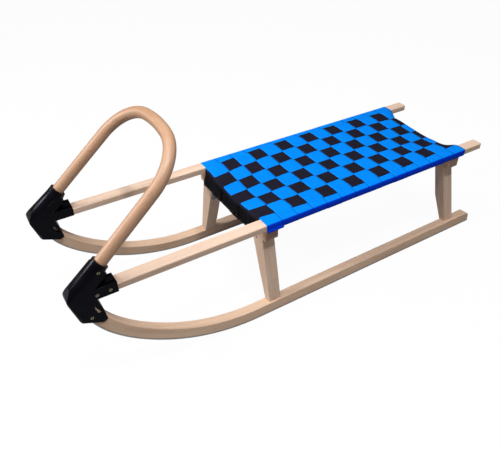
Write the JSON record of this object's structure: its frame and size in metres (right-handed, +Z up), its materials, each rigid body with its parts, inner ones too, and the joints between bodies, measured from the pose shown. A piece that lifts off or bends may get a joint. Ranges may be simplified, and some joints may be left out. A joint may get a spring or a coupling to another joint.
{
  "type": "wooden sled",
  "caption": "Wooden sled with curled runners, a woven webbing seat on side rails, and a bent bow handle held in moulded corner brackets.",
  "frame": {"origin": "on the ground, midway between the runners and midway along the sled", "axes": "+X forwards, towards the curled runner ends and the bow; +Y to the left; +Z up"},
  "size_m": [1.1092, 0.3582, 0.4733],
  "materials": {
    "beech": "clear satin varnish",
    "bow_wood": "clear gloss varnish",
    "shoe_steel": "worn steel strip",
    "bracket_plastic": "black moulded plastic",
    "webbing": "woven blue and black tape",
    "flap_webbing": "black woven tape"
  },
  "bodies": {
    "root": {"runner_left": "beech", "runner_right": "beech", "runner_shoe_left": "shoe_steel", "runner_shoe_right": "shoe_steel", "rail_left": "beech", "rail_right": "beech", "beam_front": "beech", "beam_rear": "beech", "leg_front_left": "beech", "leg_front_right": "beech", "leg_rear_left": "beech", "leg_rear_right": "beech", "bow": "bow_wood", "corner_bracket_left": "bracket_plastic", "corner_bracket_right": "bracket_plastic", "seat_webbing": "webbing", "seat_flap": "flap_webbing"}
  },
  "joints": []
}
